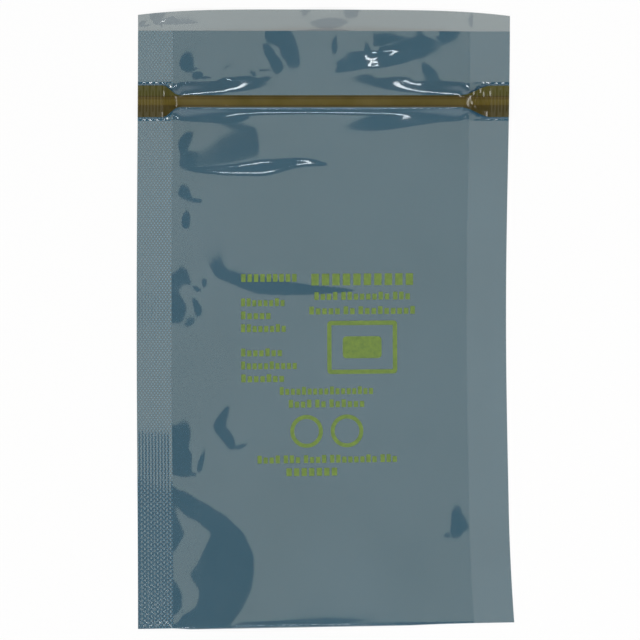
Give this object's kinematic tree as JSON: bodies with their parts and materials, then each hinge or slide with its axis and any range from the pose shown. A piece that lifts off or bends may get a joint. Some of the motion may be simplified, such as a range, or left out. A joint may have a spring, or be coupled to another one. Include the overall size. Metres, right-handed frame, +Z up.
{
  "type": "anti static shielding bag",
  "caption": "Flat zip bag of see-through metallised film with embossed side seals, for carrying circuit boards and drives.",
  "frame": {"origin": "middle of the bag's footprint on the table it lies on", "axes": "+X across the bag to the right of its print, +Y along the bag towards the mouth, +Z up out of the printed front wall"},
  "size_m": [0.0968, 0.1586, 0.0021],
  "materials": {
    "film": "thin smoky blue-grey metallised film, glossy and half see-through",
    "zipper": "olive-brown polyethylene, satin",
    "ink": "yellow-green printing ink, satin"
  },
  "bodies": {
    "root": {"film_sheet": "film", "zipper_groove_strip": "zipper", "zipper_rib_strip": "zipper", "print_notice_line_1": "ink", "print_notice_line_2": "ink", "print_notice_line_3": "ink", "print_notice_line_4": "ink", "print_notice_line_5": "ink", "print_notice_line_6": "ink", "print_notice_line_7": "ink", "print_title_line_1": "ink", "print_title_line_2": "ink", "print_title_line_3": "ink", "print_frame": "ink", "print_block": "ink", "print_note_line_1": "ink", "print_note_line_2": "ink", "print_ring_left": "ink", "print_ring_right": "ink", "print_foot_line_1": "ink", "print_foot_line_2": "ink"}
  },
  "joints": []
}
